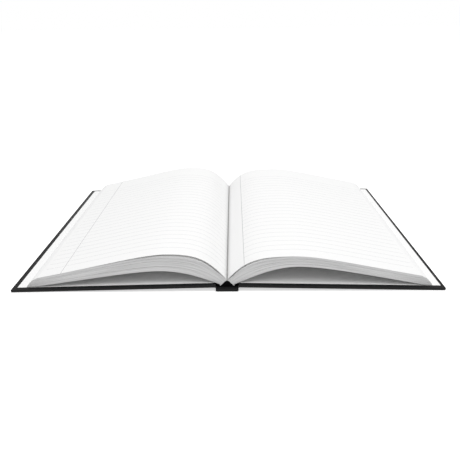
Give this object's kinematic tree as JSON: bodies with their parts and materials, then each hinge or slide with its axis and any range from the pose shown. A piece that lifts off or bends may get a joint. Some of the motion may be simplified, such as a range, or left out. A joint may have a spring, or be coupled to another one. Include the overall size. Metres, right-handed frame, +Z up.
{
  "type": "open composition notebook",
  "caption": "Hard-cased ruled notebook lying open near its middle, with arched leaves on two black cloth covers and a flat spine.",
  "frame": {"origin": "the surface that the notebook lies on, under the middle of the spine", "axes": "+X across the spread from the front cover to the back cover, +Y along the spine from tail to head, +Z up"},
  "size_m": [0.4092, 0.254, 0.0386],
  "materials": {
    "cover_cloth": "matt fine-grained black book cloth",
    "greyboard": "plain",
    "page_paper": "uncoated white, ruled",
    "lining_cloth": "matt",
    "thread": "waxed"
  },
  "bodies": {
    "spine": {"spine_board": "greyboard", "spine_cloth": "cover_cloth", "back_lining": "lining_cloth", "sewing_thread": "thread"},
    "front_cover": {"front_board": "greyboard", "front_cloth": "cover_cloth", "front_pastedown": "page_paper", "front_leaves": "page_paper"},
    "back_cover": {"back_board": "greyboard", "back_cloth": "cover_cloth", "back_pastedown": "page_paper", "back_leaves": "page_paper"}
  },
  "joints": [
    {"name": "front_cover_hinge", "type": "hinge", "parent": "spine", "child": "front_cover", "pos_m": [-0.01075, 0, 0.0044], "axis": [0, 1, 0], "range_deg": [0, 91.3], "deforming": ["front_leaves"]},
    {"name": "back_cover_hinge", "type": "hinge", "parent": "spine", "child": "back_cover", "pos_m": [0.01075, 0, 0.0044], "axis": [0, -1, 0], "range_deg": [0, 91.3], "deforming": ["back_leaves"]}
  ]
}
